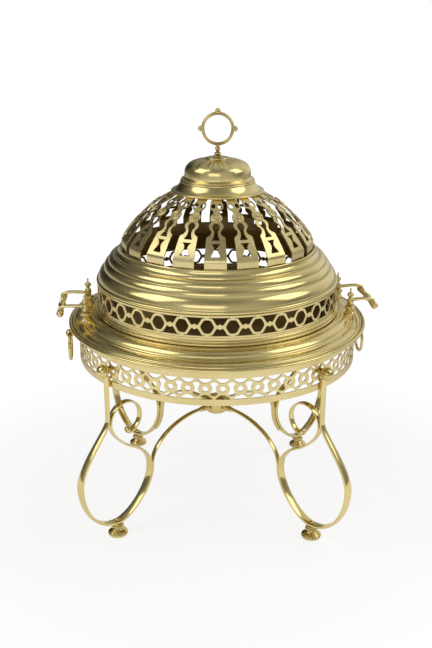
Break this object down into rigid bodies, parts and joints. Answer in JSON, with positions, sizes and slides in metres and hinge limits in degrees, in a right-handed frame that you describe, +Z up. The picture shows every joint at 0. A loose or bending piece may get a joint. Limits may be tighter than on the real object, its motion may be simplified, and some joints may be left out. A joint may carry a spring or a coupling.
{
  "type": "charcoal brazier",
  "caption": "Free-standing round charcoal brazier: pierced hoop on scroll legs, lift-out fire pan with folding handles and a lift-off pierced dome lid with a ring finial.",
  "frame": {"origin": "on the floor under the centre of the round pan", "axes": "+Z up along the round axis, -Y towards the viewer's front, +X to the right-hand handle"},
  "size_m": [0.5404, 0.5, 0.6781],
  "materials": {
    "spun_brass": "polished, spun",
    "cast_brass": "polished casting",
    "bar_brass": "polished bar",
    "pierced_brass": "polished sheet, pierced"
  },
  "bodies": {
    "stand": {"gallery_hoop": "pierced_brass", "centre_hub": "cast_brass", "leg_front_left": "bar_brass", "foot_front_left": "cast_brass", "ball_stud_front_left": "cast_brass", "stretcher_front_left": "bar_brass", "leg_front_right": "bar_brass", "foot_front_right": "cast_brass", "ball_stud_front_right": "cast_brass", "stretcher_front_right": "bar_brass", "leg_rear_right": "bar_brass", "foot_rear_right": "cast_brass", "ball_stud_rear_right": "cast_brass", "stretcher_rear_right": "bar_brass", "leg_rear_left": "bar_brass", "foot_rear_left": "cast_brass", "ball_stud_rear_left": "cast_brass", "stretcher_rear_left": "bar_brass", "ring_eye_right": "cast_brass", "ring_eye_left": "cast_brass"},
    "pan": {"fire_pan": "spun_brass", "handle_post_right_front": "cast_brass", "handle_post_right_rear": "cast_brass", "handle_post_left_front": "cast_brass", "handle_post_left_rear": "cast_brass"},
    "lid": {"lid_base_ring": "spun_brass", "lid_gallery": "pierced_brass", "moulded_ring": "spun_brass", "dome_rib_01": "pierced_brass", "dome_rib_02": "pierced_brass", "dome_rib_03": "pierced_brass", "dome_rib_04": "pierced_brass", "dome_rib_05": "pierced_brass", "dome_rib_06": "pierced_brass", "dome_rib_07": "pierced_brass", "dome_rib_08": "pierced_brass", "dome_rib_09": "pierced_brass", "dome_rib_10": "pierced_brass", "dome_rib_11": "pierced_brass", "dome_rib_12": "pierced_brass", "dome_rib_13": "pierced_brass", "dome_rib_14": "pierced_brass", "dome_rib_15": "pierced_brass", "dome_rib_16": "pierced_brass", "dome_rib_17": "pierced_brass", "dome_rib_18": "pierced_brass", "dome_rib_19": "pierced_brass", "dome_rib_20": "pierced_brass", "bell_cap": "spun_brass", "ring_finial": "cast_brass", "finial_nut": "cast_brass"},
    "handle_right": {"handle_arm_right_front": "bar_brass", "handle_arm_right_rear": "bar_brass", "handle_grip_right": "cast_brass"},
    "handle_left": {"handle_arm_left_front": "bar_brass", "handle_arm_left_rear": "bar_brass", "handle_grip_left": "cast_brass"},
    "ring_right": {"drop_ring_right": "cast_brass"},
    "ring_left": {"drop_ring_left": "cast_brass"}
  },
  "joints": [
    {"name": "pan_lift", "type": "slide", "parent": "stand", "child": "pan", "axis": [0, 0, 1], "range_m": [0, 0.12]},
    {"name": "lid_lift", "type": "slide", "parent": "pan", "child": "lid", "axis": [0, 0, 1], "range_m": [0, 0.12]},
    {"name": "handle_right_hinge", "type": "hinge", "parent": "pan", "child": "handle_right", "pos_m": [0.21762, 0.02452, 0.365], "axis": [0.112, -0.9937, 0], "range_deg": [0, 100]},
    {"name": "handle_left_hinge", "type": "hinge", "parent": "pan", "child": "handle_left", "pos_m": [-0.21762, -0.02452, 0.365], "axis": [-0.112, 0.9937, 0], "range_deg": [0, 100]},
    {"name": "ring_right_swing", "type": "hinge", "parent": "stand", "child": "ring_right", "pos_m": [0.24863, 0.02801, 0.3057], "axis": [0.112, -0.9937, 0], "range_deg": [-15, 85]},
    {"name": "ring_left_swing", "type": "hinge", "parent": "stand", "child": "ring_left", "pos_m": [-0.24863, -0.02801, 0.3057], "axis": [-0.112, 0.9937, 0], "range_deg": [-15, 85]}
  ]
}
